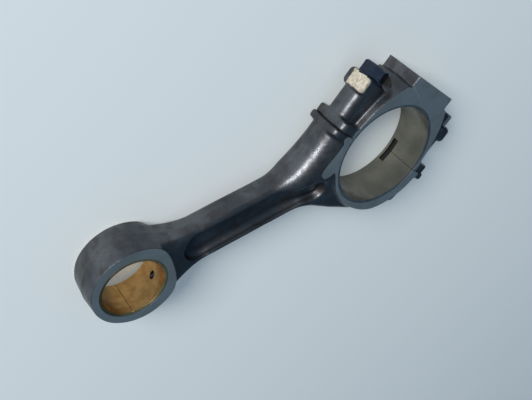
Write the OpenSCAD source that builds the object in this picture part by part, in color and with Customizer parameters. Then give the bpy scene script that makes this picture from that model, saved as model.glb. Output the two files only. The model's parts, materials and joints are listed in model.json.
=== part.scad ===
// Connecting rod with an obliquely split crankpin end.
// The origin is the centre of the crankpin bore, half way through the rod.
// +X points to the gudgeon pin bore, and +Z runs along the crankpin axis.
// The split frame, used for the cap, is turned about Z: its X runs along the cap bolts, away from
// the shank, and its Y runs along the joint, towards the bolt beside the shank.

/* [Overall] */
// Distance between the centres of the two bores
centre_distance = 230; // [200:1:280]
// Angle between the cap bolts and the shank
bolt_angle = 41; // [36:0.5:50]

/* [Crankpin end] */
// Diameter of the bore in the bearing shells
crankpin_bore_d = 91; // [76:0.5:96]
// Thickness of a bearing shell
shell_wall = 2; // [1.6:0.1:2.5]
// Width of a bearing shell
shell_width = 36; // [30:0.5:42]
// Width of the crankpin end across its faces
crankpin_end_width = 37; // [31:0.5:44]
// Wall of the ring around the shells in the rod half
ring_wall = 8.5; // [6:0.5:11]
// How far the ring's outside sits from its bore, away from the shank-side bolt
ring_shift = 2.5; // [0:0.5:3.5]
// Angle between the ring's straight flank, on the side of the free bolt, and the shank
flank_angle = 35; // [28:1:42]
// Radius of the fillet between that flank and the shank
flank_fillet_r = 60; // [40:1:80]
// Width of the chamfer at both mouths of the shells' housing
housing_chamfer = 1; // [0.5:0.1:1.5]

/* [Gudgeon pin end] */
// Diameter of the bore in the bush
pin_bore_d = 50; // [42:0.5:56]
// Wall of the bush
bush_wall = 2; // [1.5:0.25:4]
// Width of the eye and its bush
pin_end_width = 32.5; // [27:0.5:38]
// Wall of the eye around the bush
eye_wall = 9.5; // [7:0.5:12]
// How far the eye's outside sits from its bore, towards the shank
eye_shift = 2.5; // [0:0.5:4]
// Width of the chamfer at both mouths of the eye
eye_chamfer = 1; // [0.5:0.1:1.5]

/* [Shank] */
// Height of the I section across its flanges
shank_height = 34.5; // [29:0.5:40]
// Thickness of the I section along the bore axis
shank_thickness = 23; // [19:0.5:26]
// Width of the pocket between the flanges
pocket_width = 24; // [18:0.5:26]
// Thickness of the web
web_thickness = 8; // [6.5:0.5:10]
// Radius of the fillet that leads into the crankpin end beside the shank-side bolt
ring_fillet_r = 74; // [60:1:90]
// Radius of the fillets that lead into the eye
eye_fillet_r = 60; // [40:1:75]

/* [Bearing cap] */
// Wall of the cap ring beside the joint
cap_root_wall = 2.5; // [2:0.5:4]
// Thickness of the cap behind the shell, up to the end of the balance pad
pad_wall = 20; // [15:0.5:28]
// Width of the balance pad
pad_width = 56; // [44:1:60]
// Distance from the joint to the bolt seats
seat_height = 43; // [38:0.5:47]
// Radius of the scallop beside each bolt head
scallop_r = 19; // [14:0.5:22]
// Height of the lug on the outer side of each boss
lug_height = 1.5; // [0.5:0.25:3]

/* [Joint and bosses] */
// Gap between the housing bore and each bolt hole
bolt_gap = 0.8; // [0.5:0.1:4]
// Radius of the bolt bosses on the cap
boss_r = 11.75; // [10.5:0.25:13]
// Radius of the bolt bosses on the rod
rod_boss_r = 14; // [12:0.25:15]
// How far the rod's lips stand out past the cap's
lip_step = 3.5; // [0:0.5:5]
// Thickness of the lip beside the joint on the rod
rod_lip = 6; // [4:0.5:9]
// Thickness of the lip beside the joint on the cap
cap_lip = 8; // [5:0.5:10]
// Pitch of the joint's serrations
tooth_pitch = 3; // [2:0.5:4]
// Depth of the joint's serrations
tooth_depth = 1.1; // [0.6:0.1:1.4]

/* [Cap bolts] */
// Diameter of the thread
thread_d = 12; // [10:0.5:14]
// Diameter of the waist between the collar and the head
waist_d = 10; // [8:0.5:10]
// Length of the thread in the rod
thread_length = 22; // [18:1:24]
// Size of the head across its flats
head_flats = 19; // [17:0.5:21]
// Height of the hexagon above the flange
hexagon_height = 8.5; // [7:0.5:11]
// Diameter of the flange under the head
flange_d = 23.5; // [21.5:0.5:25]
// Thickness of the flange
flange_height = 4; // [2.5:0.5:5]

/* [Oil gallery] */
// Diameter of the drilling through the shank
gallery_d = 4.5; // [3:0.5:5]
// Angle from the shank at which the drilling meets the pin bush
gallery_pin_angle = 35; // [20:1:40]

/* [Fits] */
// Gap between the cap and the rod across the joint
joint_gap = 0.02; // [0.01:0.01:0.1]
// Radial clearance of the bolt's collar and thread
bolt_clearance = 0.05; // [0.02:0.01:0.1]
// Clearance around a shell's tang in its slot
tang_clearance = 0.3; // [0.1:0.1:0.5]

/* [Hidden] */
$fn = 96;
// How far a cutter runs past the surface that it cuts
over = 1;
// A cutter's reach past the whole crankpin end
far = 150;

housing_r = crankpin_bore_d / 2 + shell_wall;
ring_r = housing_r + ring_wall;
eye_bore_r = pin_bore_d / 2 + bush_wall;
eye_r = eye_bore_r + eye_wall;

// The collar centres the cap, so it is a little thicker than the thread.
collar_d = thread_d + 0.3;
bolt_hole_r = collar_d / 2 + bolt_clearance;
bolt_offset = housing_r + bolt_gap + bolt_hole_r;
lip_inset = 0.25;
lip_reach = bolt_offset + boss_r - lip_inset;
lip_width = crankpin_end_width - 2 * lip_inset;
lip_corner_r = 5;
collar_half = 7;
thread_relief = 3;
thread_tip = collar_half + thread_relief + thread_length;
thread_runout = 3;
bolt_chamfer = 1.2;
bolt_taper = 1;
head_corner_r = head_flats / 2 / cos(30);
head_height = flange_height + hexagon_height;
head_crown = 0.3;
head_turn = 49;
spotface_margin = 1.25;
spotface_r = max(flange_d / 2, head_corner_r) + spotface_margin;
scallop_step = 4;
rod_boss_length = thread_tip + thread_runout + 3;
rod_boss_cone = 8;
rod_boss_tip_r = rod_boss_r - 5.5;

// The serrations start inside the housing and end past the lips.
teeth_start = housing_r - 2;
tooth_count = ceil((lip_reach + lip_step + 2 - teeth_start) / tooth_pitch);

// The cap's outline is a quarter of an ellipse on each side, up to the pad's side.
cap_root = housing_r + cap_root_wall;
pad_reach = housing_r + pad_wall;
cap_crown = pad_reach + 5.5;
pad_half = pad_width / 2;
crown_end = cap_crown * sqrt(1 - pow(pad_half / cap_root, 2));
pad_corner = 2;
crown_steps = 14;

lug_length = 14;
lug_width = 23;
lug_corner = 5;
lug_margin = 2;

// Flanks and fillets start a little inside the round end that they lead from, and a fillet cuts a
// little into the straight that it ends on, so that no two surfaces merely touch.
sink = 0.5;
overlap = 0.05;

// The straight flank of the ring, and where its line meets the shank's side.
flank_reach = ring_r - sink + ring_shift * cos(flank_angle);
flank_end_x = (flank_reach - cos(flank_angle) * shank_height / 2) / sin(flank_angle);

// The eye is flat towards the shank.
shoulder_x = eye_r - 2;

bush_chamfer = 0.8;
bush_hole_d = gallery_d + 1;
shell_hole_d = gallery_d + 1;
gallery_pin_x = centre_distance - eye_bore_r * cos(gallery_pin_angle);
gallery_pin_y = eye_bore_r * sin(gallery_pin_angle);
gallery_end_y = 3;
gallery_lean = atan2(gallery_pin_y - gallery_end_y, gallery_pin_x);

pocket_depth = (shank_thickness - web_thickness) / 2;
pocket_start = ring_r + 1 + pocket_width / 2;
pocket_end = centre_distance - eye_r - 8 - pocket_width / 2;

tang_width = 5.5;
tang_length = 6;
tang_height = 1.3;
tang_root = 0.7;
tang_z = -12.5;
tang_dent_r = 22;
tang_dent_depth = shell_wall / 2;
shell_chamfer = 0.4;

// Turns its children from the split frame into the rod's frame.
module in_split_frame() {
    rotate([0, 0, 180 + bolt_angle])
        children();
}

// Lays children that stand along Z along the bolts, on the bolt at one side of the bore.
// side is 1 for the bolt beside the shank and -1 for the free side.
module on_bolt_axis(side) {
    translate([0, side * bolt_offset, 0])
        rotate([0, 90, 0])
            children();
}

// A straight bore along Z with a chamfer at both mouths, as a cutter.
module chamfered_bore(r, width, chamfer) {
    rotate_extrude()
        polygon([
            [0, -width / 2 - over],
            [r + chamfer + over, -width / 2 - over],
            [r, -width / 2 + chamfer],
            [r, width / 2 - chamfer],
            [r + chamfer + over, width / 2 + over],
            [0, width / 2 + over]
        ]);
}

// A tube along Z with chamfered edges inside.
module lined_tube(outer_r, inner_r, width, chamfer) {
    rotate_extrude()
        polygon([
            [outer_r, -width / 2],
            [outer_r, width / 2],
            [inner_r + chamfer, width / 2],
            [inner_r, width / 2 - chamfer],
            [inner_r, -width / 2 + chamfer],
            [inner_r + chamfer, -width / 2]
        ]);
}

// One edge of the joint in the split frame, as [across, along] points at a distance from its middle.
function joint_edge(shift) = concat(
    [[shift, -far]],
    [for (i = [tooth_count:-1:0]) each tooth(-1, i, shift)],
    [for (i = [0:tooth_count]) each tooth(1, i, shift)],
    [[shift, far]]
);

// The root and the tip of one tooth, in the order in which the edge is drawn.
function tooth(side, i, shift) =
    let (y = teeth_start + i * tooth_pitch)
    let (low = [shift - tooth_depth / 2, side * y])
    let (high = [shift + tooth_depth / 2, side * (y + tooth_pitch / 2)])
    side > 0 ? [low, high] : [high, low];

// Everything on the cap's side of the joint.
module cap_side(shift) {
    translate([0, 0, -far / 2])
        linear_extrude(far)
            polygon(concat(joint_edge(shift), [[far, far], [far, -far]]));
}

// Everything on the rod's side of the joint.
module rod_side(shift) {
    translate([0, 0, -far / 2])
        linear_extrude(far)
            polygon(concat(joint_edge(shift), [[-far, far], [-far, -far]]));
}

// One concave fillet between a round end and the shank's side, drawn from the round end's centre.
module shank_fillet(end_r, fillet_r) {
    centre_y = shank_height / 2 + fillet_r;
    centre_x = sqrt(pow(end_r + fillet_r, 2) - pow(centre_y, 2));
    difference() {
        polygon([[0, 0], [centre_x, 0], [centre_x, centre_y]]);
        translate([centre_x, centre_y])
            circle(r = fillet_r, $fn = 180);
    }
}

// The ring's straight flank, with the fillet that leads from it into the shank's side.
module ring_flank() {
    outward = [sin(flank_angle), cos(flank_angle)];
    centre = [
        flank_end_x + flank_fillet_r * tan(flank_angle / 2),
        shank_height / 2 + flank_fillet_r
    ];
    difference() {
        polygon([
            [0, 0],
            [0, ring_shift] + (ring_r - sink) * outward,
            centre - flank_fillet_r * outward,
            centre,
            [centre[0], 0]
        ]);
        translate(centre)
            circle(r = flank_fillet_r + overlap, $fn = 180);
    }
}

// The I section shank, with its fillets and before its pockets.
module shank() {
    translate([0, 0, -shank_thickness / 2])
        linear_extrude(shank_thickness) {
            translate([0, -shank_height / 2])
                square([centre_distance, shank_height]);
            ring_flank();
            mirror([0, 1, 0])
                shank_fillet(ring_r - ring_shift - sink, ring_fillet_r);
            for (side = [0, 1])
                translate([centre_distance - eye_shift, 0])
                    mirror([0, side, 0])
                        mirror([1, 0, 0])
                            shank_fillet(eye_r - sink, eye_fillet_r);
        }
}

// The eye's outline, drawn from the pin's centre, with the shank towards -X.
module eye_outline() {
    difference() {
        translate([-eye_shift, 0])
            circle(r = eye_r, $fn = 180);
        translate([-shoulder_x - far, -far / 2])
            square([far, far]);
    }
}

// The pockets on both sides of the web, as cutters.
module shank_pockets() {
    for (side = [0, 1])
        mirror([0, 0, side])
            translate([0, 0, web_thickness / 2])
                linear_extrude(pocket_depth + over) {
                    translate([pocket_start, 0])
                        circle(d = pocket_width);
                    translate([pocket_end, 0])
                        circle(d = pocket_width);
                    translate([pocket_start, -pocket_width / 2])
                        square([pocket_end - pocket_start, pocket_width]);
                }
}

// The outline of both lips across the joint, in the split frame's Y and Z.
module lip_outline(reach) {
    straight_z = lip_width - 2 * lip_corner_r;
    straight_y = 2 * reach - 2 * lip_corner_r;
    square([straight_z, 2 * reach], center = true);
    square([lip_width, straight_y], center = true);
    for (z = [-1, 1], y = [-1, 1])
        translate([z * straight_z / 2, y * straight_y / 2])
            circle(r = lip_corner_r);
}

// A slab of the lip outline along the bolts, from one distance to another.
module lips(from, to, reach) {
    translate([from, 0, 0])
        rotate([0, 90, 0])
            linear_extrude(to - from)
                lip_outline(reach);
}

// The drilling from the crankpin bore to the pin bush.
module gallery(d) {
    translate([0, gallery_end_y, 0])
        rotate([0, 90, gallery_lean])
            cylinder(d = d, h = centre_distance - pin_bore_d / 4);
}

// The slot that a shell's tang drops into, cut from the joint on one side of it.
module tang_slot(direction) {
    width = tang_width + 2 * tang_clearance;
    length = tang_length + tang_clearance + over;
    reach = tang_height + tang_clearance;
    translate([direction * (length / 2 - over), -housing_r - reach / 2 + over, tang_z])
        cube([length, reach + 2 * over, width], center = true);
}

// One bolt's hole through the rod and the cap, with its blind threaded end.
module bolt_hole(side) {
    on_bolt_axis(side)
        translate([0, 0, -collar_half - over])
            cylinder(r = bolt_hole_r, h = far);
    on_bolt_axis(side)
        translate([0, 0, -thread_tip - thread_runout])
            cylinder(r = thread_d / 2 + bolt_clearance, h = far / 2);
}

// The rod forging: eye, I section shank, and the rod's half of the crankpin end.
module rod_forging() {
    color([0.13, 0.15, 0.18])
        difference() {
            union() {
                translate([centre_distance, 0, -pin_end_width / 2])
                    linear_extrude(pin_end_width)
                        eye_outline();
                difference() {
                    shank();
                    in_split_frame()
                        cap_side(-joint_gap / 2);
                }
                in_split_frame()
                    intersection() {
                        rod_half_blank();
                        rod_side(-joint_gap / 2);
                    }
            }
            chamfered_bore(housing_r, crankpin_end_width, housing_chamfer);
            translate([centre_distance, 0, 0])
                chamfered_bore(eye_bore_r, pin_end_width, eye_chamfer);
            shank_pockets();
            gallery(gallery_d);
            in_split_frame() {
                bolt_hole(1);
                bolt_hole(-1);
                tang_slot(-1);
            }
        }
}

// The rod's half of the crankpin end before it is split, with its bosses and lips.
module rod_half_blank() {
    rotate([0, 0, 180 - bolt_angle])
        translate([0, ring_shift, 0])
            cylinder(r = ring_r, h = crankpin_end_width, center = true, $fn = 180);
    lips(-rod_lip, over, lip_reach + lip_step);
    rod_boss(1);
    rod_boss(-1);
}

// The boss around one bolt's thread, with a tapered end.
module rod_boss(side) {
    straight = rod_boss_length - rod_boss_cone;
    on_bolt_axis(side) {
        translate([0, 0, -straight])
            cylinder(r = rod_boss_r, h = straight + over);
        translate([0, 0, -rod_boss_length])
            cylinder(r1 = rod_boss_tip_r, r2 = rod_boss_r, h = rod_boss_cone);
    }
}

// The bush pressed into the eye.
module small_end_bush() {
    color([0.76, 0.53, 0.25])
        difference() {
            translate([centre_distance, 0, 0])
                lined_tube(eye_bore_r, pin_bore_d / 2, pin_end_width, bush_chamfer);
            gallery(bush_hole_d);
        }
}

// A half shell on the cap's side (1) or the rod's side (-1), with its tang and the dent behind it.
module half_shell(direction) {
    tang_middle = direction * (tang_length + joint_gap) / 2;
    dent_y = tang_dent_r - tang_dent_depth - crankpin_bore_d / 2;
    in_split_frame()
        difference() {
            union() {
                intersection() {
                    lined_tube(housing_r, crankpin_bore_d / 2, shell_width, shell_chamfer);
                    translate([direction * (far + joint_gap) / 2, 0, 0])
                        cube(far, center = true);
                }
                translate([tang_middle, (tang_root - tang_height) / 2 - housing_r, tang_z])
                    cube([tang_length, tang_height + tang_root, tang_width], center = true);
            }
            translate([0, dent_y, tang_z])
                cylinder(r = tang_dent_r, h = tang_width, center = true);
        }
}

module rod_bearing_shell() {
    color([0.66, 0.64, 0.52])
        difference() {
            half_shell(-1);
            gallery(shell_hole_d);
        }
}

module cap_bearing_shell() {
    color([0.66, 0.64, 0.52])
        half_shell(1);
}

// The cap's outline in the split frame, with its balance pad.
function cap_quarter(side) = [
    for (i = [0:crown_steps])
        let (x = crown_end * i / crown_steps)
        [x, side * cap_root * sqrt(1 - pow(x / cap_crown, 2))]
];

module cap_outline() {
    polygon(concat(
        [[-over, cap_root]],
        cap_quarter(1),
        [[pad_reach - pad_corner, pad_half], [pad_reach, pad_half - pad_corner]],
        [[pad_reach, pad_corner - pad_half], [pad_reach - pad_corner, -pad_half]],
        [for (i = [crown_steps:-1:0]) cap_quarter(-1)[i]],
        [[-over, -cap_root]]
    ));
}

// The boss around one bolt on the cap, with the web that joins it to the ring and its lug.
module cap_boss(side) {
    on_bolt_axis(side)
        translate([0, 0, -over])
            cylinder(r = boss_r, h = seat_height + over);
    translate([seat_height / 2, side * (bolt_offset + pad_half) / 2, 0])
        cube([seat_height, bolt_offset - pad_half, 2 * boss_r - 1], center = true);
    translate([seat_height - lug_length / 2 + lug_margin, side * (bolt_offset + boss_r + lug_height), 0])
        rotate([side * 90, 0, 0])
            lug();
}

// The eight-sided lug, from its outer face inwards.
module lug() {
    half_l = lug_length / 2;
    half_w = lug_width / 2;
    linear_extrude(boss_r)
        polygon([
            [lug_corner - half_l, -half_w],
            [half_l - lug_corner, -half_w],
            [half_l, lug_corner - half_w],
            [half_l, half_w - lug_corner],
            [half_l - lug_corner, half_w],
            [lug_corner - half_l, half_w],
            [-half_l, half_w - lug_corner],
            [-half_l, lug_corner - half_w]
        ]);
}

module bearing_cap() {
    color([0.16, 0.17, 0.19])
        in_split_frame()
            difference() {
                intersection() {
                    union() {
                        translate([0, 0, -crankpin_end_width / 2])
                            linear_extrude(crankpin_end_width)
                                cap_outline();
                        lips(-over, cap_lip, lip_reach);
                        cap_boss(1);
                        cap_boss(-1);
                    }
                    cap_side(joint_gap / 2);
                }
                chamfered_bore(housing_r, crankpin_end_width, housing_chamfer);
                bolt_hole(1);
                bolt_hole(-1);
                tang_slot(1);
                for (side = [1, -1])
                    on_bolt_axis(side) {
                        translate([0, 0, seat_height])
                            cylinder(r = spotface_r, h = far);
                        translate([0, 0, seat_height + scallop_step])
                            cylinder(r = max(scallop_r, spotface_r), h = far);
                    }
            }
}

// A collar bolt along Z, with the underside of its head at the origin and its shank downwards.
module cap_bolt() {
    collar_bottom = -seat_height - collar_half;
    collar_top = -seat_height + collar_half;
    tip = -seat_height - thread_tip;
    rotate_extrude()
        polygon([
            [0, tip],
            [thread_d / 2 - bolt_chamfer, tip],
            [thread_d / 2, tip + bolt_chamfer],
            [thread_d / 2, tip + thread_length],
            [waist_d / 2, tip + thread_length + bolt_taper],
            [waist_d / 2, collar_bottom - bolt_taper],
            [collar_d / 2, collar_bottom],
            [collar_d / 2, collar_top],
            [waist_d / 2, collar_top + bolt_taper],
            [waist_d / 2, -bolt_taper],
            [waist_d / 2 + bolt_taper, 0],
            [flange_d / 2, 0],
            [flange_d / 2, flange_height / 2],
            [head_flats / 2, flange_height],
            [0, flange_height]
        ]);
    intersection() {
        cylinder(r = head_corner_r, h = head_height, $fn = 6);
        cylinder(r1 = head_flats / 2 + head_height, r2 = head_flats / 2 - head_crown, h = head_height);
    }
}

module placed_bolt(side) {
    color([0.07, 0.09, 0.14])
        in_split_frame()
            on_bolt_axis(side)
                translate([0, 0, seat_height])
                    rotate([0, 0, head_turn])
                        cap_bolt();
}

module cap_bolt_shank_side() {
    placed_bolt(1);
}

module cap_bolt_free_side() {
    placed_bolt(-1);
}

rod_forging();
small_end_bush();
rod_bearing_shell();
cap_bearing_shell();
bearing_cap();
cap_bolt_shank_side();
cap_bolt_free_side();
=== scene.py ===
"""Looks of a forged connecting rod with an obliquely split crankpin end, lying on a pale studio floor."""

import json
import math

import bmesh
import bpy
import numpy as np
from mathutils import Matrix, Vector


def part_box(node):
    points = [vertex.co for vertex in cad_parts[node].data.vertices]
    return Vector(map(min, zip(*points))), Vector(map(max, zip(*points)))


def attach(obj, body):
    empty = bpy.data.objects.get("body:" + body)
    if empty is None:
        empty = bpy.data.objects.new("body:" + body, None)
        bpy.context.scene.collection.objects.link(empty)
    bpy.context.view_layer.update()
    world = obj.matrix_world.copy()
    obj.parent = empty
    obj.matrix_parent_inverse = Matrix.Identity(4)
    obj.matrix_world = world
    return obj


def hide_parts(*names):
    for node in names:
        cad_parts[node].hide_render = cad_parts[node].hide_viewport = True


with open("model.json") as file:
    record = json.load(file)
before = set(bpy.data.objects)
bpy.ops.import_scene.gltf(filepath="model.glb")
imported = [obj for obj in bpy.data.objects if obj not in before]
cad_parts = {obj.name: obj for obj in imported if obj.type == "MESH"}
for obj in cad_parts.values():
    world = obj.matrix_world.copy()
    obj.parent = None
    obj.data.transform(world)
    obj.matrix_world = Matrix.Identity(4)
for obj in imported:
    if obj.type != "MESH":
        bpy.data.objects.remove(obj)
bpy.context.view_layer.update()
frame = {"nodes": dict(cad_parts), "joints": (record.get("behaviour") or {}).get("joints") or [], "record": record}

# ---- Sizes, in millimetres, taken from the frame ----

MM = 0.001
MOUNTS = {mount["name"]: mount for mount in frame["record"]["mounts"]}
CENTRES = MOUNTS["small_end_bore"]["pos_m"][0] / MM
CRANKPIN_R = MOUNTS["big_end_bore"]["dims"]["r_mm"]
PIN_R = MOUNTS["small_end_bore"]["dims"]["r_mm"]
END_HALF = MOUNTS["crankpin_end_face_front"]["pos_m"][2] / MM
EYE_HALF = MOUNTS["eye_face_front"]["pos_m"][2] / MM

# The split frame's rows: along the cap bolts and away from the shank, across towards the bolt beside
# the shank, and up.
UP = np.array([0.0, 0.0, 1.0])
ALONG = np.array(frame["joints"][0]["axis"])
ACROSS = np.cross(UP, ALONG)
SPLIT = np.array([ALONG, ACROSS, UP])
UPRIGHT = np.eye(3)


def box_in_split(node):
    """The lowest and highest corner of a CAD node in the split frame."""
    points = np.array([vertex.co for vertex in frame["nodes"][node].data.vertices]) @ SPLIT.T / MM
    return points.min(0), points.max(0)


shell_high = np.array(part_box("rod_bearing_shell")[1]) / MM
bush_low, bush_high = (np.array(corner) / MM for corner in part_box("small_end_bush"))
cap_high = box_in_split("bearing_cap")[1]
bolt_low, bolt_high = box_in_split("cap_bolt_shank_side")
HOUSING_R = shell_high[0]
SHELL_HALF = shell_high[2]
EYE_BORE_R = (bush_high[0] - bush_low[0]) / 2
# The eye's outside sits a little further towards the shank than its bore does.
EYE_SHIFT = 2.5
EYE_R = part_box("rod_forging")[1].x / MM - CENTRES + EYE_SHIFT
PAD_REACH = cap_high[0]
LUG_REACH = cap_high[1]
BOLT_OFFSET = (bolt_low[1] + bolt_high[1]) / 2
BOLT_TOP = bolt_high[0]
BOLT_TIP = bolt_low[0]

# ---- Sizes that the frame doesn't hold, in millimetres ----

SKIN_STEP = 1.1
SPARE = 1.0
GRID_SPARE = 4.0
JOINT_GAP = 0.5
TOOTH_PITCH = 3.0
TOOTH_DEPTH = 1.1
SEAT = 43.0
SPOTFACE_R = 13.0
SCALLOP_R = 19.0
SCALLOP_STEP = 4.0
BOLT_HOLE_R = 6.2
THREAD_R = 6.0
THREAD_PITCH = 1.5
THREAD_DEPTH = 0.85
THREAD_LENGTH = 22.0
COLLAR_R = 6.15
COLLAR_HALF = 7.0
WAIST_R = 5.0
FLANGE_R = 11.75
FLANGE_HEIGHT = 4.0
HEAD_FLATS = 19.0
HEAD_TURN = 49.0
GALLERY_R = 2.25
GALLERY_PIN_ANGLE = 35.0
GALLERY_END_Y = 3.0
TANG_UP = -12.5
TANG_WIDTH = 5.5
TANG_REACH = 11.5
TANG_DENT = 1.4


# ---- Skins: smooth solids given by a distance to their surface, negative inside ----

def joined(a, b, soft):
    """Two solids with a fillet of about this size where they meet."""
    share = np.clip(0.5 + 0.5 * (b - a) / soft, 0, 1)
    return b + (a - b) * share - soft * share * (1 - share)


def hollowed(a, tool, soft):
    """A solid less a tool, with the edge rounded by about this size."""
    return -joined(-a, tool, soft)


def crossed(a, b, edge):
    """What is inside two flat boundaries, with their edge rounded to this radius."""
    a, b = a + edge, b + edge
    return np.hypot(np.maximum(a, 0), np.maximum(b, 0)) + np.minimum(np.maximum(a, b), 0) - edge


def plate(outline, height, half, edge, lean):
    """An outline with a thickness, whose sides lean in away from the parting line."""
    return crossed(outline + lean * np.abs(height), np.abs(height) - half, edge)


def panel(u, v, half_u, half_v, corner):
    """A rectangle with round corners."""
    return crossed(np.abs(u) - half_u, np.abs(v) - half_v, corner)


def eased(value, low, high):
    """A step from 0 at low to 1 at high with soft ends."""
    share = np.clip((value - low) / (high - low), 0, 1)
    return share * share * (3 - 2 * share)


def swells(p):
    """The gentle swells and hollows of a forged skin."""
    a, b, c = (p / SWELL_PITCH).T
    coarse = np.sin(a + 1.7 * np.sin(0.8 * b + 0.4)) * np.sin(1.1 * b + 1.3 * np.sin(0.9 * c + 1.1))
    fine = np.sin(2.3 * a + 1.2 * np.sin(1.9 * c)) * np.sin(2.1 * b + 0.7) * np.cos(1.7 * c + 0.5 * a)
    return SWELL_DEPTH * (coarse + 0.5 * fine)


FLASH_HEIGHT = 0.16
FLASH_WIDTH = 1.5
CAP_LIP_REACH = 66.0
ROD_LIP_REACH = 69.5
LIP_HALF = 18.3
LIP_CORNER = 6.0
LIP_EDGE = 1.8
ROD_LIP = 6.0
CAP_LIP = 8.0
DRAFT = 0.07
# How far a lip's skin runs past the joint before the joint is cut.
PAST_JOINT = 0.3
SWELL_DEPTH = 0.09
SWELL_PITCH = 7.5


def flash_line(height):
    """The trimmed ridge that the forging dies leave along the parting line."""
    return FLASH_HEIGHT * np.exp(-(height / FLASH_WIDTH) ** 2)


def lip(along, across, height, reach, low, high):
    """The slab beside the joint, between two distances along the bolts."""
    middle, half = (low + high) / 2, (high - low) / 2
    return plate(panel(across, height, reach, LIP_HALF, LIP_CORNER), along - middle, half, LIP_EDGE, 0)


SHANK_HALF = 17.25
SHANK_THICK = 11.5
SHANK_EDGE = 5.5
SHANK_DRAFT = 0.05
# How much thicker the shank grows towards the ring and towards the eye.
RING_SWELL = 3.2
EYE_SWELL = 2.6
RING_FILLET = 74.0
EYE_FILLET = 60.0
RING_R = 55.8
RING_SHIFT = 3.0
RING_THINNING = 3.6
FLANK_REACH = 58.9
FLANK_TURN = math.radians(35)
SHANK_START = 34.0
POCKET_HALF = 12.6
POCKET_START = 68.0
POCKET_END = 172.0
POCKET_LEAN = 0.14
# The pocket's rounded ends, beside the ring and beside the eye.
RING_END_X, RING_END_R = 69.5, 13.2
EYE_END_R = 12.2
WEB_HALF = 4.0
ROD_BOSS_LENGTH = 38.0
SHANK_BOSS_LENGTH = 54.0
ROD_BOSS_HALF = 13.2
ROD_BOSS_CORNER = 8.5
ROD_BOSS_TAPER = 0.07
CAP_BOSS_HALF = 10.9
CAP_BOSS_CORNER = 7.5
EYE_FLAT = EYE_R - 2
EYE_CORNER = 8.0
# How softly each part of a forging runs into the next.
FLANK_SOFT = 8.0
BOSS_SOFT = 24.0
EYE_SOFT = 3.5
LIP_SOFT = 3.0
# Where the ring starts and ends growing thinner towards the shank.
THINNING_START, THINNING_END = 12, 44


def fillet(distance, radius, end_r):
    """How far a fillet that runs into a round end has left its straight, at a distance towards that end."""
    centre_y = SHANK_HALF + radius
    start = math.sqrt((end_r + radius) ** 2 - centre_y ** 2)
    touch = start * radius / (end_r + radius)
    run = np.clip(start - distance, 0, touch)
    return radius - np.sqrt(radius ** 2 - run ** 2)


def shank_skin(x, y, z):
    """The I section between the ring and the eye."""
    half = SHANK_HALF + fillet(CENTRES - EYE_SHIFT - x, EYE_FILLET, EYE_R + 0.4)
    half = half + np.where(y < 0, fillet(x, RING_FILLET, RING_R - RING_SHIFT), 0)
    thick = SHANK_THICK + RING_SWELL * eased(-x, -84, -50) + EYE_SWELL * eased(x, 168, 200)
    flank = np.maximum(x * math.sin(FLANK_TURN) + y * math.cos(FLANK_TURN) - FLANK_REACH, -y)
    side = joined(np.abs(y) - half, flank, FLANK_SOFT)
    bar = crossed(side + SHANK_DRAFT * np.abs(z), np.abs(z) - thick, SHANK_EDGE)
    bar = np.maximum(bar, np.maximum(SHANK_START - x, x - CENTRES))
    pocket = joined(
        np.hypot(np.maximum(np.maximum(POCKET_START - x, x - POCKET_END), 0), y) - POCKET_HALF,
        joined(np.hypot(x - RING_END_X, y) - RING_END_R, np.hypot(x - POCKET_END, y) - EYE_END_R, 1.0),
        4.0,
    )
    wall = pocket - POCKET_LEAN * (np.abs(z) - thick)
    return hollowed(bar, crossed(wall, WEB_HALF - np.abs(z), 4.5), 2.5)


def eye_skin(x, y, z):
    """The eye, which is flat towards the shank."""
    x = x - CENTRES
    outline = crossed(np.hypot(x + EYE_SHIFT, y) - EYE_R, -x - EYE_FLAT, EYE_CORNER)
    return plate(outline, z, EYE_HALF + 0.7, 1.6, DRAFT) - 0.4


def rod_boss(along, across, z, side, length):
    """The boss around a bolt's thread, which tapers away from the joint."""
    barrel = panel(across - side * BOLT_OFFSET, z, ROD_BOSS_HALF, ROD_BOSS_HALF, ROD_BOSS_CORNER)
    barrel = barrel + ROD_BOSS_TAPER * np.maximum(-along - 10, 0)
    return crossed(barrel, np.abs(along + length / 2) - length / 2, 5.0)


def rod_skin(p):
    """The rod forging before it is machined."""
    x, y, z = p.T
    along, across = p @ ALONG, p @ ACROSS
    thinned = RING_THINNING * eased(x, THINNING_START, THINNING_END)
    ring = plate(np.hypot(x, y - RING_SHIFT) - RING_R + thinned, z, END_HALF + SPARE, 2.6, DRAFT)
    ring = np.maximum(ring, along - 3)
    shank = joined(shank_skin(x, y, z), rod_boss(along, across, z, 1, SHANK_BOSS_LENGTH), BOSS_SOFT)
    solid = joined(ring, joined(shank, eye_skin(x, y, z), EYE_SOFT), 3.0)
    solid = joined(solid, rod_boss(along, across, z, -1, ROD_BOSS_LENGTH), 4.5)
    solid = joined(solid, lip(along, across, z, ROD_LIP_REACH, -ROD_LIP, PAST_JOINT), LIP_SOFT)
    return solid - flash_line(z) - swells(p)


CROWN_ROOT = 50.0
CROWN = 73.0
CROWN_END = 57.0
PAD_HALF = 28.0
PAD_START = 40.0
WEB_REACH = 18.0
CAP_WEB_HALF = 10.5
LUG_ALONG = 38.0
LUG_HALF_LENGTH = 7.2
LUG_HALF_WIDTH = 11.6
LUG_CORNER = 4.2


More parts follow.
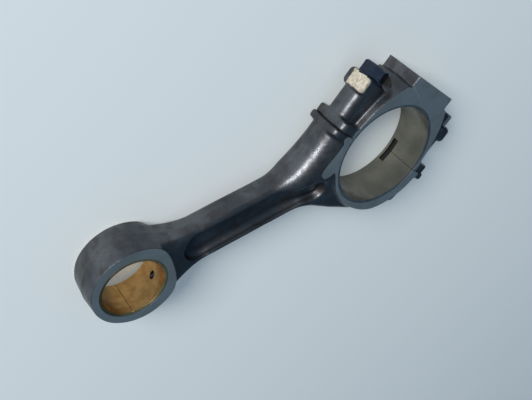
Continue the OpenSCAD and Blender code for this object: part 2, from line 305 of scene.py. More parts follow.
def cap_skin(p):
    """The bearing cap before it is machined."""
    along, across, z = p @ ALONG, p @ ACROSS, p[:, 2]
    width = CROWN_ROOT * np.sqrt(np.clip(1 - (along / CROWN) ** 2, 0.05, 1))
    crown = crossed(np.abs(across) - width, along - CROWN_END, 1.5)
    crown = plate(crown - 1.3, z, END_HALF + SPARE, 2.0, DRAFT)
    pad_outline = panel(along - PAD_START, across, PAD_REACH - PAD_START + SPARE, PAD_HALF, 1.2)
    pad = plate(pad_outline, z, END_HALF + 0.2, 1.1, 0.01)
    solid = joined(crown, pad, 1.5)
    for side in (1, -1):
        barrel = panel(across * side - BOLT_OFFSET, z, CAP_BOSS_HALF, CAP_BOSS_HALF, CAP_BOSS_CORNER)
        below_seat = np.abs(along - SEAT / 2) - SEAT / 2
        boss = crossed(barrel, below_seat - 1.5, 1.5)
        inward = np.abs(across * side - BOLT_OFFSET + WEB_REACH / 2) - WEB_REACH / 2
        web = crossed(np.maximum(np.abs(z) - CAP_WEB_HALF, inward), below_seat, 2.0)
        solid = joined(joined(solid, web, 3.0), boss, 3.5)
        lug = panel(along - LUG_ALONG, z, LUG_HALF_LENGTH, LUG_HALF_WIDTH, LUG_CORNER)
        lug = crossed(lug, across * side - LUG_REACH + 0.35, 1.4)
        lug = np.maximum(lug, BOLT_OFFSET - across * side)
        solid = joined(solid, lug, 1.2)
    solid = np.maximum(solid, -3 - along)
    solid = joined(solid, lip(along, across, z, CAP_LIP_REACH, -PAST_JOINT, CAP_LIP), LIP_SOFT)
    return solid - flash_line(z) - swells(p + 40)


def crossing_edges(value, axes, axis):
    """Grid edges along one axis that pass through a surface: their low corners, crossings and turns."""
    low = np.moveaxis(value, axis, 0)[:-1]
    high = np.moveaxis(value, axis, 0)[1:]
    found = np.argwhere((low < 0) != (high < 0))
    before, after = low[tuple(found.T)], high[tuple(found.T)]
    corner = np.empty_like(found)
    corner[:, axis] = found[:, 0]
    for column, other in enumerate(a for a in range(3) if a != axis):
        corner[:, other] = found[:, column + 1]
    point = np.stack([axes[a][corner[:, a]] for a in range(3)], 1)
    point[:, axis] += (axes[axis][1] - axes[axis][0]) * before / (before - after)
    return corner, point, before < 0


def wrapped(skin, low, high):
    """The points and four-sided faces of a skin, found on a grid and settled onto its surface."""
    axes = [np.arange(a - GRID_SPARE, b + GRID_SPARE, SKIN_STEP) for a, b in zip(low, high)]
    grid = np.stack(np.meshgrid(*axes, indexing="ij"), -1)
    value = skin(grid.reshape(-1, 3)).reshape(grid.shape[:3])
    cells, points, quads = [], [], []
    for axis in range(3):
        corner, point, outward = crossing_edges(value, axes, axis)
        near, far = np.zeros(3, int), np.zeros(3, int)
        near[(axis + 1) % 3], far[(axis + 2) % 3] = 1, 1
        around = np.stack([corner, corner - near, corner - near - far, corner - far], 1)
        cell = np.ravel_multi_index(np.moveaxis(around, -1, 0), value.shape)
        cells.append(cell.ravel())
        points.append(np.repeat(point, 4, axis=0))
        quads.append(np.where(outward[:, None], cell, cell[:, ::-1]))
    names, index = np.unique(np.concatenate(cells), return_inverse=True)
    count = np.bincount(index)
    points = np.concatenate(points)
    centre = np.stack([np.bincount(index, points[:, a]) / count for a in range(3)], 1)
    faces = np.searchsorted(names, np.concatenate(quads))
    return settled(skin, centre), faces


def settled(skin, points):
    """Points moved onto a skin's surface along its slope."""
    reach = 0.05
    for _ in range(4):
        value = skin(points)
        slope = np.stack([(skin(points + reach * step) - value) / reach for step in np.eye(3)], 1)
        move = value / np.maximum((slope ** 2).sum(1), 0.2)
        points = points - np.clip(move, -0.6, 0.6)[:, None] * slope
    return points


# ---- Making and cutting solids ----

MOST_FINISHES = 4


def solid(name, points, faces, finish=0, axes=UPRIGHT, origin=(0, 0, 0)):
    """A mesh object from points in its own axes. finish is a material slot, or one for each face."""
    placed = (np.asarray(points, float) @ axes + np.asarray(origin, float)) * MM
    mesh = bpy.data.meshes.new(name)
    mesh.from_pydata(placed.tolist(), [], [list(map(int, face)) for face in faces])
    slots = np.broadcast_to(finish, len(mesh.polygons)).astype(np.int32)
    mesh.polygons.foreach_set("material_index", slots)
    for _ in range(MOST_FINISHES):
        mesh.materials.append(None)
    piece = bpy.data.objects.new(name, mesh)
    bpy.context.scene.collection.objects.link(piece)
    tidy_up(mesh)
    return piece


def tidy_up(mesh):
    """Merges points that coincide and turns every face outwards."""
    shape = bmesh.new()
    shape.from_mesh(mesh)
    bmesh.ops.remove_doubles(shape, verts=shape.verts, dist=0.001 * MM)
    bmesh.ops.recalc_face_normals(shape, faces=shape.faces)
    shape.to_mesh(mesh)
    shape.free()


def turned(name, outline, finish=0, turns=160, start=0.0, end=360.0, **place):
    """A closed outline of (radius, height) points turned about an axis, wholly or in part."""
    whole = abs(end - start) > 359.9
    outline = np.asarray(outline, float)
    angle = np.radians(np.linspace(start, end, turns + 1)[:turns if whole else None])
    rings, count = len(angle), len(outline)
    radius, height = outline.T
    points = np.stack([
        np.outer(np.cos(angle), radius),
        np.outer(np.sin(angle), radius),
        np.broadcast_to(height, (rings, count)),
    ], -1).reshape(-1, 3)
    faces, slots = [], []
    for ring in range(rings if whole else rings - 1):
        here, there = ring * count, (ring + 1) % rings * count
        for a in range(count):
            b = (a + 1) % count
            if radius[a] + radius[b] > 0:
                faces.append([here + a, there + a, there + b, here + b])
                slots.append(finish if np.isscalar(finish) else finish[a])
    if not whole:
        faces += [list(range(count)), list(range((rings - 1) * count, rings * count))]
        slots += [max(slots)] * 2
    return solid(name, points, faces, slots, **place)


def prism(name, outline, low, high, finish=0, **place):
    """A flat outline of (x, y) points drawn out from one height to another."""
    count = len(outline)
    points = [(x, y, z) for z in (low, high) for x, y in outline]
    faces = [list(range(count)), list(range(count, 2 * count))]
    faces += [[a, (a + 1) % count, (a + 1) % count + count, a + count] for a in range(count)]
    return solid(name, points, faces, finish, **place)


def changed(piece, operation, *tools):
    """Cuts, joins or crosses a solid with tools, which are used up."""
    for tool in tools:
        step = piece.modifiers.new(operation, "BOOLEAN")
        step.operation = operation
        step.solver = "MANIFOLD"
        step.object = tool
        bpy.context.view_layer.update()
        shaped = piece.evaluated_get(bpy.context.evaluated_depsgraph_get())
        mesh = bpy.data.meshes.new_from_object(shaped)
        piece.modifiers.clear()
        spent = [piece.data, tool.data]
        piece.data = mesh
        bpy.data.objects.remove(tool)
        for old in spent:
            bpy.data.meshes.remove(old)
    return piece


def cut(piece, *tools):
    return changed(piece, "DIFFERENCE", *tools)


# The material slots of the rod and the cap. Slot 0 is the forged skin, which every solid starts with.
GROUND, BORED, SPOTFACED = 1, 2, 3
FAR = 160.0
BORE_CHAMFER = 0.5


def bore_tool(r, half, chamfer, finish, **place):
    """A bore with a chamfer at both mouths, as a tool."""
    reach = half + SPARE
    mouth = r + chamfer + SPARE
    outline = [
        (0, -reach), (mouth, -reach), (r, chamfer - half), (r, half - chamfer), (mouth, reach), (0, reach),
    ]
    return turned("bore_tool", outline, finish, **place)


def drill(r, low, high, finish, turns=64, **place):
    """A round hole from one height to another, as a tool."""
    return turned("drill", [(0, low), (r, low), (r, high), (0, high)], finish, turns, **place)


def along_bolt(side):
    """Where a tool or bolt that stands along its own Z goes, on one side of the crankpin."""
    return {"axes": np.array([-UP, ACROSS, ALONG]), "origin": side * BOLT_OFFSET * ACROSS}


def joint_tool(direction):
    """Everything past the serrated joint, on the cap's side (1) or the rod's (-1)."""
    start = HOUSING_R - 2
    count = math.ceil((ROD_LIP_REACH + 2 - start) / TOOTH_PITCH)
    half = []
    for tooth in range(count + 1):
        foot = start + tooth * TOOTH_PITCH
        half += [(-TOOTH_DEPTH / 2, foot), (TOOTH_DEPTH / 2, foot + TOOTH_PITCH / 2)]
    edge = [(x, -y) for x, y in reversed(half)] + half
    shift = -direction * JOINT_GAP / 2
    outline = [(x + shift, y) for x, y in [(0, -FAR)] + edge + [(0, FAR)]]
    outline += [(direction * FAR, FAR), (direction * FAR, -FAR)]
    return prism("joint_tool", outline, -FAR, FAR, SPOTFACED, axes=SPLIT)


def face_tool(side):
    """What grinding takes off one side: above the crankpin end, and a step lower, above the eye."""
    step = (CENTRES - EYE_R + HOUSING_R) / 2 + 30
    outline = [
        (-FAR, END_HALF), (step, END_HALF), (step, EYE_HALF),
        (2 * FAR, EYE_HALF), (2 * FAR, FAR), (-FAR, FAR),
    ]
    axes = np.array([[1, 0, 0], side * UP, [0, 1, 0]])
    return prism("face_tool", outline, -FAR, FAR, GROUND, axes=axes)


def gallery_tool(r):
    """The oil drilling from the crankpin bore to the pin bush."""
    angle = math.radians(GALLERY_PIN_ANGLE)
    end = np.array([CENTRES - EYE_BORE_R * math.cos(angle), EYE_BORE_R * math.sin(angle), 0])
    start = np.array([0, GALLERY_END_Y, 0])
    run = (end - start) / np.linalg.norm(end - start)
    axes = np.array([np.cross(run, UP), UP, run])
    return drill(r, 10, CENTRES - PIN_R / 2, BORED, 32, axes=axes, origin=start)


def tang_slot_tool():
    """The milled slot for both shells' tangs."""
    r = 16.0
    depth = 1.6
    origin = (r - HOUSING_R - depth) * ACROSS + TANG_UP * UP
    return drill(r, -TANG_WIDTH / 2 - 0.3, TANG_WIDTH / 2 + 0.3, BORED, 96, origin=origin)


def bolt_hole_tools(side):
    """The clearance bore through the cap and the joint, and the tapping bore beyond it."""
    place = along_bolt(side)
    return [
        drill(BOLT_HOLE_R, -COLLAR_HALF - 1, FAR, BORED, **place),
        drill(THREAD_R + 0.05, BOLT_TIP - 3, 0, BORED, **place),
    ]


def rod_forging():
    low, high = (np.array(corner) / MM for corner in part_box("rod_forging"))
    piece = solid("rod_forging_skin", *wrapped(rod_skin, low, high))
    cut(piece, face_tool(1), face_tool(-1), joint_tool(1))
    cut(piece, bore_tool(HOUSING_R, END_HALF, BORE_CHAMFER, BORED))
    cut(piece, bore_tool(EYE_BORE_R, EYE_HALF, BORE_CHAMFER, BORED, origin=(CENTRES, 0, 0)))
    cut(piece, gallery_tool(GALLERY_R), tang_slot_tool())
    cut(piece, *bolt_hole_tools(1), *bolt_hole_tools(-1))
    return piece


def bearing_cap():
    low, high = (np.array(corner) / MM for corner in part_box("bearing_cap"))
    piece = solid("bearing_cap_skin", *wrapped(cap_skin, low, high))
    cut(piece, face_tool(1), face_tool(-1), joint_tool(-1))
    beyond_pad = [(PAD_REACH, -FAR), (FAR, -FAR), (FAR, FAR), (PAD_REACH, FAR)]
    cut(piece, prism("pad_tool", beyond_pad, -FAR, FAR, GROUND, axes=SPLIT))
    cut(piece, bore_tool(HOUSING_R, END_HALF, BORE_CHAMFER, BORED))
    for side in (1, -1):
        place = along_bolt(side)
        cut(piece, drill(SPOTFACE_R, SEAT, FAR, SPOTFACED, 96, **place))
        cut(piece, drill(SCALLOP_R, SEAT + SCALLOP_STEP, FAR, SPOTFACED, 128, **place))
        cut(piece, *bolt_hole_tools(side))
    return cut(piece, tang_slot_tool())


def bearing_shell(name, direction):
    """One half shell, with its tang and the dent behind it."""
    chamfer = 0.4
    outline = [
        (HOUSING_R, -SHELL_HALF), (HOUSING_R, SHELL_HALF),
        (CRANKPIN_R + chamfer, SHELL_HALF), (CRANKPIN_R, SHELL_HALF - chamfer),
        (CRANKPIN_R, chamfer - SHELL_HALF), (CRANKPIN_R + chamfer, -SHELL_HALF),
    ]
    gap = math.degrees(JOINT_GAP / 2 / HOUSING_R)
    middle = 0 if direction > 0 else 180
    piece = turned(name, outline, [1, 1, 0, 0, 0, 1], 120, middle - 90 + gap, middle + 90 - gap, axes=SPLIT)
    foot, tip = -HOUSING_R + 0.7, -HOUSING_R - 1.3
    outline = [(direction * x, y) for x, y in [(0.2, tip), (6, tip), (6.4, foot), (0.2, foot)]]
    low, high = TANG_UP - TANG_WIDTH / 2, TANG_UP + TANG_WIDTH / 2
    changed(piece, "UNION", prism("tang", outline, low, high, 1, axes=SPLIT))
    reach = math.degrees(TANG_REACH / CRANKPIN_R)
    start, end = sorted((-90 - direction, -90 + direction * reach))
    bottom = CRANKPIN_R + TANG_DENT
    outline = [(CRANKPIN_R - 2, low), (CRANKPIN_R - 2, high), (bottom, high), (bottom, low)]
    cut(piece, turned("dent", outline, 2, 24, start, end, axes=SPLIT))
    if direction < 0:
        cut(piece, gallery_tool(GALLERY_R + 0.5))
    return piece


def pin_bush():
    """The pin bush, rolled from bronze strip on a steel back."""
    chamfer = 0.6
    half = EYE_HALF - 0.1
    outline = [
        (EYE_BORE_R, 0.2 - half), (EYE_BORE_R, half - 0.2), (EYE_BORE_R - 0.2, half), (PIN_R + chamfer, half),
        (PIN_R, half - chamfer), (PIN_R, chamfer - half), (PIN_R + chamfer, -half), (EYE_BORE_R - 0.2, -half),
    ]
    piece = turned("pin_bush", outline, [1, 0, 0, 0, 0, 0, 0, 0], 160, origin=(CENTRES, 0, 0))
    return cut(piece, gallery_tool(GALLERY_R + 0.5))


def thread_cut(angle, height):
    """How deep the thread lies under the bolt's outside at an angle and a height."""
    turn = height / THREAD_PITCH - angle / (2 * math.pi)
    wave = np.abs(2 * (turn - np.floor(turn)) - 1)
    top = BOLT_TIP + THREAD_LENGTH
    ends = eased(height, BOLT_TIP, BOLT_TIP + THREAD_PITCH) * eased(-height, -top, THREAD_PITCH - top)
    return THREAD_DEPTH * ends * np.clip(1.3 * wave - 0.15, 0, 1)


def bolt_stem(side):
    """The bolt below its head: thread, waist and fitted collar."""
    collar = COLLAR_HALF
    thread_end = BOLT_TIP + THREAD_LENGTH
    stations = [
        (BOLT_TIP, THREAD_R - 1.2), (BOLT_TIP + 1.2, THREAD_R), (thread_end, THREAD_R),
        (thread_end + 0.8, WAIST_R), (-collar - 0.8, WAIST_R), (-collar, COLLAR_R), (collar, COLLAR_R),
        (collar + 0.8, WAIST_R), (SEAT - 1.2, WAIST_R), (SEAT, WAIST_R + 1), (SEAT + 1, WAIST_R + 1),
    ]
    height = np.concatenate([
        np.arange(BOLT_TIP, thread_end + 1, THREAD_PITCH / 8),
        [h for h, _ in stations if h > thread_end + 1 or h in (thread_end, BOLT_TIP + 1.2)],
    ])
    height = np.unique(np.round(np.append(height, thread_end + 0.8), 4))
    angle = np.linspace(0, 2 * math.pi, 49)[:-1]
    radius = np.interp(height, *zip(*stations))[:, None] - thread_cut(angle[None], height[:, None])
    points = np.stack([
        radius * np.cos(angle), radius * np.sin(angle), np.broadcast_to(height[:, None], radius.shape),
    ], -1).reshape(-1, 3)
    rows, turns = radius.shape
    faces = [list(range(turns)), list(range((rows - 1) * turns, rows * turns))]
    for row in range(rows - 1):
        for a in range(turns):
            b = (a + 1) % turns
            faces.append([row * turns + a, row * turns + b, (row + 1) * turns + b, (row + 1) * turns + a])
    return solid("bolt_stem", points, faces, 1, **along_bolt(side))


def cap_bolt(name, side):
    """A flanged hexagon bolt with a fitted collar."""
    place = along_bolt(side)
    crown = HEAD_FLATS / 2 - 0.4
    top = BOLT_TOP
    corner = HEAD_FLATS / 2 / math.cos(math.radians(30))
    corners = [math.radians(HEAD_TURN + 60 * k) for k in range(6)]
    hexagon = [(corner * math.cos(a), corner * math.sin(a)) for a in corners]
    head = prism(name, hexagon, SEAT + 1, top, 0, **place)
    dome = [
        (0, SEAT), (corner + 2, SEAT), (corner + 2, top - 2.6), (crown, top),
        (crown - 2.2, top), (crown - 3, top - 0.5), (0, top - 0.5),
    ]
    changed(head, "INTERSECT", turned("dome", dome, 0, 96, **place))
    root = SEAT + FLANGE_HEIGHT
    flange = [
        (0, SEAT), (FLANGE_R - 0.3, SEAT), (FLANGE_R, SEAT + 0.3),
        (FLANGE_R, SEAT + 1.6), (FLANGE_R - 0.5, SEAT + 2.1),
        (HEAD_FLATS / 2 + 0.2, root - 0.8), (HEAD_FLATS / 2 - 1, root), (0, root),
    ]
    changed(head, "UNION", turned("flange", flange, 0, 96, **place), bolt_stem(side))
    return head


# ---- Finishes: shader nodes ----

class Signal:
    """One output of a finish's nodes. Sums written on signals add Math nodes."""

    def __init__(self, finish, socket):
        self.finish = finish
        self.socket = socket

    def __add__(self, other):
        return self.finish.sum("ADD", self, other)

    def __sub__(self, other):
        return self.finish.sum("SUBTRACT", self, other)

    def __rsub__(self, other):
        return self.finish.sum("SUBTRACT", other, self)

    def __mul__(self, other):
        return self.finish.sum("MULTIPLY", self, other)

    __radd__ = __add__
    __rmul__ = __mul__


class Finish:
    """A surface finish made of procedural nodes, with places measured in millimetres."""

    def __init__(self, name, **fixed):
        self.material = bpy.data.materials.new(name)
        self.material.use_nodes = True
        self.tree = self.material.node_tree
        self.tree.nodes.clear()
        self.shader = self.tree.nodes.new("ShaderNodeBsdfPrincipled")
        output = self.tree.nodes.new("ShaderNodeOutputMaterial")
        self.tree.links.new(self.shader.outputs[0], output.inputs["Surface"])
        self.set(self.shader, {socket.replace("_", " "): value for socket, value in fixed.items()})
        place = self.node("ShaderNodeTexCoord", output="Object")
        self.place = self.vector("SCALE", place, Scale=1 / MM)

    def set(self, node, inputs):
        """Gives a node's sockets their values or links."""
        for name, value in inputs.items():
            socket = node.inputs[name]
            if isinstance(value, Signal):
                self.tree.links.new(value.socket, socket)
            else:
                socket.default_value = value

    def node(self, kind, settings={}, inputs={}, output=0):
        """Adds any node and gives one of its outputs."""
        node = self.tree.nodes.new(kind)
        for name, value in settings.items():
            setattr(node, name, value)
        self.set(node, inputs)
        return Signal(self, node.outputs[output])

    def sum(self, operation, *values):
        return self.node("ShaderNodeMath", {"operation": operation}, dict(enumerate(values)))

    def vector(self, operation, *values, output=0, **named):
        inputs = {**dict(enumerate(values)), **named}
        return self.node("ShaderNodeVectorMath", {"operation": operation}, inputs, output)

    def mix(self, share, a, b, blend="MIX"):
        """Goes from colour a to colour b as share goes from 0 to 1."""
        settings = {"data_type": "RGBA", "blend_type": blend}
        return self.node("ShaderNodeMix", settings, {0: share, 6: colour(a), 7: colour(b)}, 2)

    def step(self, signal, low, high, bottom=0.0, top=1.0):
        """Goes smoothly from bottom to top as a signal goes from low to high."""
        settings = {"interpolation_type": "SMOOTHSTEP"}
        return self.node("ShaderNodeMapRange", settings, {0: signal, 1: low, 2: high, 3: bottom, 4: top})

    def noise(self, size, detail=2.0, stretch=(1, 1, 1), seed=0.0):
        """A noise from about 0 to 1 with blotches of a size in millimetres."""
        spread = [1 / (size * s) for s in stretch]
        place = self.vector("MULTIPLY_ADD", self.place, spread, (seed, 1.7 * seed, 2.3 * seed))
        return self.node("ShaderNodeTexNoise", {}, {"Vector": place, "Scale": 1.0, "Detail": detail})

    def lines(self, along, pitch, seed=0.0):
        """Uneven lines across a direction, such as a cutter leaves, at a pitch in millimetres."""
        inputs = {"W": along * (1 / pitch) + seed, "Scale": 1.0, "Detail": 2.0}
        return self.node("ShaderNodeTexNoise", {"noise_dimensions": "1D"}, inputs)

    def pits(self, size):
        """The distance to the nearest of many scattered points, in their spacing."""
        place = self.vector("SCALE", self.place, Scale=1 / size)
        return self.node("ShaderNodeTexVoronoi", {}, {"Vector": place, "Scale": 1.0}, "Distance")

    def depth(self, direction, middle=(0, 0, 0)):
        """How far a point lies along a direction."""
        place = self.vector("SUBTRACT", self.place, middle)
        return self.vector("DOT_PRODUCT", place, tuple(direction), output="Value")

    def axis_distance(self, direction, middle):
        """How far a point lies from an axis."""
        place = self.vector("SUBTRACT", self.place, tuple(middle))
        return self.vector("LENGTH", self.vector("CROSS_PRODUCT", place, tuple(direction)), output="Value")

    def bump(self, height, depth, below=None):
        """Turns a height from 0 to 1 into a bump of a depth in millimetres."""
        inputs = {"Height": height, "Distance": depth * MM, "Strength": 1.0}
        if below:
            inputs["Normal"] = below
        return self.node("ShaderNodeBump", {}, inputs)

    def finished(self, **varying):
        self.set(self.shader, {socket.replace("_", " "): value for socket, value in varying.items()})
        return self.material


def colour(value):
    """A colour socket's value: signals stay as they are, and sRGB values from 0 to 255 become light."""
    if isinstance(value, Signal):
        return value
    light = [(c / 255 / 12.92) if c <= 10 else ((c / 255 + 0.055) / 1.055) ** 2.4 for c in value]
    return (*light, 1.0)


def forged_base(name):
    """The dark scale of a shot-blasted and oiled forging: its finish so far, colour, roughness and relief."""
    finish = Finish(name, IOR=1.5, Metallic=0.9)
    broad = finish.noise(28, 3)
    patch = finish.noise(9, 4, seed=5)
    grain = finish.noise(0.9, 3, seed=9)
    dents = finish.pits(1.6)
    tone = finish.mix(finish.step(broad, 0.38, 0.66), (78, 81, 85), (102, 103, 106))
    tone = finish.mix(finish.step(patch, 0.40, 0.72) * 0.6, tone, (66, 61, 60))
    rust = finish.step(finish.noise(14, 5, seed=13), 0.56, 0.68) * finish.step(grain, 0.42, 0.62)
    tone = finish.mix(rust * 0.5, tone, (106, 84, 70))
    tone = finish.mix(finish.step(grain, 0.60, 0.78) * 0.35, tone, (120, 122, 124))
    rough = finish.step(patch, 0.35, 0.70, 0.35, 0.45) + (grain - 0.5) * 0.30
    relief = finish.bump(finish.noise(3.2, 3, seed=3), 0.15)
    relief = finish.bump(grain, 0.05, relief)
    relief = finish.bump(finish.step(dents, 0.0, 0.45), 0.03, relief)
    return finish, tone, rough, relief


def forged_scale():
    finish, tone, rough, relief = forged_base("forged_scale")
    return finish.finished(Base_Color=tone, Roughness=rough, Normal=relief)


def forged_scale_with_paint():
    """The cap's scale, with the dab of balance-class paint on the lug beside the shank."""
    finish, tone, rough, relief = forged_base("forged_scale_with_paint")
    middle = (LUG_ALONG + 0.3) * ALONG + 3.2 * UP
    edge = (finish.noise(2.6, 4, seed=21) - 0.5) * 4.2
    across_dab = finish.sum("ABSOLUTE", finish.depth(ALONG, middle))
    up_dab = finish.sum("ABSOLUTE", finish.depth(UP, middle))
    outward = finish.depth(ACROSS)
    inside = finish.step(finish.sum("MAXIMUM", across_dab * 1.55, up_dab) + edge, 9.2, 10.6, 1.0, 0.0)
    dab = inside * finish.step(outward, LUG_REACH - 4.5, LUG_REACH - 2.5)
    streaks = finish.noise(3.0, 4, (1, 1, 0.4), seed=31)
    paint = finish.mix(finish.step(streaks, 0.35, 0.68), (168, 154, 132), (206, 198, 180))
    paint = finish.mix(finish.step(finish.noise(1.2, 3, seed=37), 0.62, 0.72) * 0.6, paint, (120, 104, 84))
    return finish.finished(
        Base_Color=finish.mix(dab, tone, paint),
        Roughness=finish.sum("MULTIPLY_ADD", dab, 0.2, rough),
        Metallic=0.9 - dab * 0.9,
        Normal=finish.bump(dab * (streaks * 0.4 + 0.8), 0.22, relief),
    )


def ground_steel():
    """Faces ground flat, with the wheel's fine straight scratches and a little handling wear."""
    finish = Finish("ground_steel", IOR=2.2)
    fine = finish.noise(0.35, 2, (40, 1, 1))
    coarse = finish.noise(1.4, 2, (25, 1, 1), seed=4)
    stain = finish.noise(16, 5, seed=8)
    specks = finish.step(finish.noise(1.1, 3, seed=2), 0.66, 0.74)
    tone = finish.mix(finish.step(stain, 0.35, 0.68), (186, 184, 178), (166, 162, 152))
    tone = finish.mix(fine * 0.35, tone, (206, 206, 200))
    tone = finish.mix(specks * 0.45, tone, (70, 66, 62))
    rough = finish.step(stain, 0.3, 0.7, 0.30, 0.42) + (coarse - 0.5) * 0.14
    relief = finish.bump(fine, 0.006, finish.bump(coarse, 0.008))
    return finish.finished(Base_Color=tone, Metallic=0.85 - specks * 0.3, Roughness=rough, Normal=relief)


def bored_steel():
    """Bores and drillings, with the turning tool's fine rings."""
    finish = Finish("bored_steel", IOR=2.2, Metallic=0.9)
    rings = finish.lines(finish.depth(UP), 0.22)
    stain = finish.noise(10, 4)
    tone = finish.mix(stain, (96, 98, 100), (136, 138, 140))
    relief = finish.bump(rings, 0.01)
    return finish.finished(Base_Color=tone, Roughness=finish.step(stain, 0.3, 0.7, 0.28, 0.42), Normal=relief)


def spotfaced_steel():
    """The bolts' seats and the scallops around them, left by a cutter and darkened by oil."""
    finish = Finish("spotfaced_steel", IOR=1.5, Metallic=0.8)
    rings = finish.lines(finish.depth(ALONG), 0.5)
    turns = finish.lines(finish.axis_distance(ALONG, BOLT_OFFSET * ACROSS), 0.4)
    stain = finish.noise(8, 4, seed=3)
    tone = finish.mix(finish.step(stain, 0.35, 0.65), (56, 54, 52), (50, 36, 35))
    tone = finish.mix(rings * 0.4, tone, (84, 82, 74))
    relief = finish.bump(rings, 0.03, finish.bump(turns, 0.015))
    return finish.finished(Base_Color=tone, Roughness=finish.step(stain, 0.3, 0.7, 0.32, 0.5), Normal=relief)


def bearing_lining():
    """The shells' soft grey running layer, bored with very fine rings and dulled in patches."""
    finish = Finish("bearing_lining", IOR=1.9)
    rings = finish.lines(finish.depth(UP), 0.3)
    wide = finish.lines(finish.depth(UP), 5.0, seed=3)
    haze = finish.noise(20, 4, seed=6)
    tone = finish.mix(finish.step(haze, 0.35, 0.7), (112, 108, 96), (80, 80, 72))
    tone = finish.mix(rings * 0.3, tone, (150, 146, 132))
    rough = finish.step(haze, 0.3, 0.7, 0.18, 0.28) + (wide - 0.5) * 0.10
    relief = finish.bump(rings, 0.006)
    return finish.finished(Base_Color=tone, Metallic=0.7 - haze * 0.2, Roughness=rough, Normal=relief)


def shell_steel():
    """The shells' steel backs and edges."""
    finish = Finish("shell_steel", IOR=2.2, Metallic=0.9)
    rings = finish.lines(finish.depth(UP), 0.15)
    stain = finish.noise(6, 4)
    tone = finish.mix(finish.step(stain, 0.35, 0.65), (118, 118, 114), (150, 150, 146))
    return finish.finished(Base_Color=tone, Roughness=finish.step(rings, 0.3, 0.7, 0.28, 0.42))


def oily_recess():
    """Small recesses and oil holes, painted near black as the shade inside them."""
    finish = Finish("oily_recess", Metallic=0.2, IOR=1.5)
    stain = finish.noise(2.5, 4)
    tone = finish.mix(stain, (10, 9, 9), (24, 20, 17))
    return finish.finished(Base_Color=tone, Roughness=finish.step(stain, 0.3, 0.7, 0.25, 0.5))


def bush_bronze():
    """The pin bush's bronze, fine bored, with a seam where it was rolled, a little tarnish and painted shade over
    one side of its bore.
    """
    finish = Finish("bush_bronze", IOR=1.6)
    middle = (CENTRES, 0, 0)
    rings = finish.lines(finish.depth(UP), 0.28)
    tarnish = finish.noise(7, 5, seed=2)
    specks = finish.step(finish.noise(0.8, 3, seed=7), 0.60, 0.72)
    tone = finish.mix(finish.step(tarnish, 0.36, 0.68), (228, 188, 126), (192, 150, 94))
    tone = finish.mix(rings * 0.35, tone, (232, 188, 124))
    tone = finish.mix(specks * 0.35, tone, (96, 64, 40))
    seam_axis = np.array([math.cos(math.radians(74)), math.sin(math.radians(74)), 0])
    off_seam = finish.sum("ABSOLUTE", finish.depth(np.cross(UP, seam_axis), middle))
    # Painted shade: the bore grows darker on one side of the seam, where less light falls on it.
    beside = finish.step(finish.depth(np.cross(UP, seam_axis), middle), -16, 1, 0.75, 0.0)
    tone = finish.mix(beside, tone, (96, 80, 50))
    seam = finish.step(off_seam, 0.10, 0.35, 1.0, 0.0) * finish.step(finish.depth(seam_axis, middle), 1, 2)
    rough = finish.step(tarnish, 0.3, 0.7, 0.17, 0.28) + specks * 0.12
    relief = finish.bump(1 - seam, 0.10, finish.bump(rings, 0.006))
    tone = finish.mix(seam * 0.8, tone, (52, 34, 22))
    return finish.finished(Base_Color=tone, Metallic=0.95 - specks * 0.3, Roughness=rough, Normal=relief)


def blackened_steel():
    """The bolts' black oxide, oily and rubbed a little by the socket."""
    finish = Finish("blackened_steel", IOR=1.6)
    grain = finish.noise(0.7, 3)
    rub = finish.step(finish.noise(4, 4, seed=5), 0.55, 0.72)
    tone = finish.mix(finish.noise(5, 3, seed=2), (18, 30, 46), (30, 44, 64))
    tone = finish.mix(rub * 0.4, tone, (78, 88, 98))
    rough = 0.30 + grain * 0.16
    relief = finish.bump(grain, 0.03)
    return finish.finished(Base_Color=tone, Metallic=0.6 + rub * 0.3, Roughness=rough, Normal=relief)


def phosphated_steel():
    """The bolts' stems: grey, matt and rolled."""
    finish = Finish("phosphated_steel", IOR=1.6, Metallic=0.6)
    grain = finish.noise(0.5, 3)
    tone = finish.mix(grain, (52, 54, 56), (84, 86, 88))
    return finish.finished(Base_Color=tone, Roughness=0.38 + grain * 0.16, Normal=finish.bump(grain, 0.02))


FLOOR_GLOW = 0.18


def studio_floor():
    """A pale light table, hardly glossy."""
    finish = Finish("studio_floor", IOR=1.4, Emission_Strength=FLOOR_GLOW)
    shade = finish.noise(220, 2)
    tone = finish.mix(shade, (231, 236, 235), (228, 234, 233))
    return finish.finished(Base_Color=tone, Emission_Color=tone, Roughness=0.62 + shade * 0.04)


# ---- Putting the rod together ----

def fitted(piece, body, slot_name, nodes, *finishes):
    """Gives a piece its finishes, smooth faces with crisp edges, and its place in the mechanism."""
    mesh = piece.data
    for slot, finish in enumerate(finishes):
        mesh.materials[slot] = finish
    while len(mesh.materials) > len(finishes):
        mesh.materials.pop()
    mesh.polygons.foreach_set("use_smooth", np.ones(len(mesh.polygons), bool))
    mesh.set_sharp_from_angle(angle=math.radians(34))
    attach(piece, body)
    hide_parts(*nodes)
    return piece


worked = [ground_steel(), bored_steel(), spotfaced_steel()]
# Painted shade for the shells' tang dents and the oil holes.
recess = oily_recess()
shell = [bearing_lining(), shell_steel(), recess]
bolt = [blackened_steel(), phosphated_steel()]

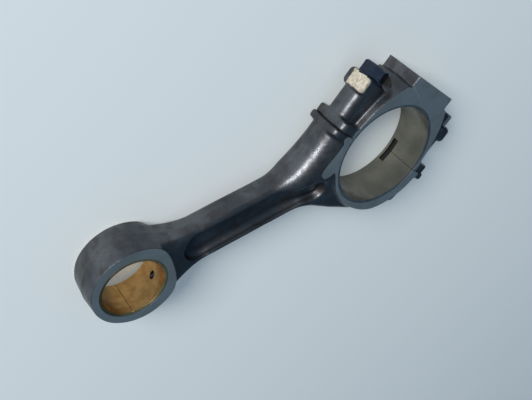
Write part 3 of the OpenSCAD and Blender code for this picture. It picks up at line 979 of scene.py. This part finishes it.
fitted(rod_forging(), "rod", "forged_steel", ["rod_forging"], forged_scale(), *worked)
fitted(pin_bush(), "rod", "bronze", ["small_end_bush"], bush_bronze(), shell[1], recess)
for name, direction, body, node in (
    ("rod_bearing_shell_half", -1, "rod", "rod_bearing_shell"),
    ("cap_bearing_shell_half", 1, "cap", "cap_bearing_shell"),
):
    fitted(bearing_shell(name, direction), body, "bearing_lining", [node], *shell)
fitted(bearing_cap(), "cap", "forged_steel", ["bearing_cap"], forged_scale_with_paint(), *worked)
for name, side, body, node in (
    ("shank_side_bolt", 1, "bolt_shank_side", "cap_bolt_shank_side"),
    ("free_side_bolt", -1, "bolt_free_side", "cap_bolt_free_side"),
):
    fitted(cap_bolt(name, side), body, "bolt_steel", [node], *bolt)

# ---- Studio ----

FLOOR_HALF = 3000.0


def stand(rows, place):
    """Where something stands: its right, up and back directions and its place in millimetres."""
    turn = Matrix([list(row) for row in np.array(rows, float).T]).to_4x4()
    return Matrix.Translation([c * MM for c in place]) @ turn


def facing(place, target):
    """Directions for a lamp at a place that looks at a target."""
    back = np.array(place, float) - target
    back /= np.linalg.norm(back)
    right = np.cross(UP, back)
    right /= np.linalg.norm(right)
    return stand([right, np.cross(back, right), back], place)


def softbox(name, place, target, width, height, power):
    """A rectangular lamp, with its sizes in millimetres and its power in watts."""
    lamp = bpy.data.lights.new(name, "AREA")
    lamp.shape = "RECTANGLE"
    lamp.size, lamp.size_y = width * MM, height * MM
    lamp.energy = power
    holder = bpy.data.objects.new(name, lamp)
    holder.matrix_world = facing(place, np.array(target))
    bpy.context.scene.collection.objects.link(holder)


corners = [(x * FLOOR_HALF, y * FLOOR_HALF, -END_HALF) for x, y in ((-1, -1), (1, -1), (1, 1), (-1, 1))]
floor = solid("studio_floor", corners, [(0, 1, 2, 3)])
floor.data.materials.clear()
floor.data.materials.append(studio_floor())

middle = (CENTRES / 2, 0, 0)
softbox("key_softbox", (1708, -2340, 1368), middle, width=1260, height=1080, power=97)
softbox("overhead_softbox", (400, -300, 2000), middle, width=1600, height=1600, power=1)

AIR_COLOUR = (0.32, 0.64, 1.0, 1)
AIR_STRENGTH = 0.195
world = bpy.data.worlds.new("studio_air")
world.use_nodes = True
world.node_tree.nodes["Background"].inputs["Color"].default_value = AIR_COLOUR
world.node_tree.nodes["Background"].inputs["Strength"].default_value = AIR_STRENGTH
bpy.context.scene.world = world

CAMERA_LENS = 52.67
CAMERA_PLACE = (296.5, -450.5, 377.5)
CAMERA_RIGHT = (-0.8398, 0.0913, 0.5352)
CAMERA_DOWN = (0.4461, 0.6781, 0.5842)
camera = bpy.data.objects.new("camera", bpy.data.cameras.new("camera"))
camera.data.lens = CAMERA_LENS
right, down = np.array(CAMERA_RIGHT), np.array(CAMERA_DOWN)
camera.matrix_world = stand([right, -down, -np.cross(right, down)], CAMERA_PLACE)
bpy.context.scene.collection.objects.link(camera)
bpy.context.scene.camera = camera

bpy.context.scene.view_settings.view_transform = "Standard"
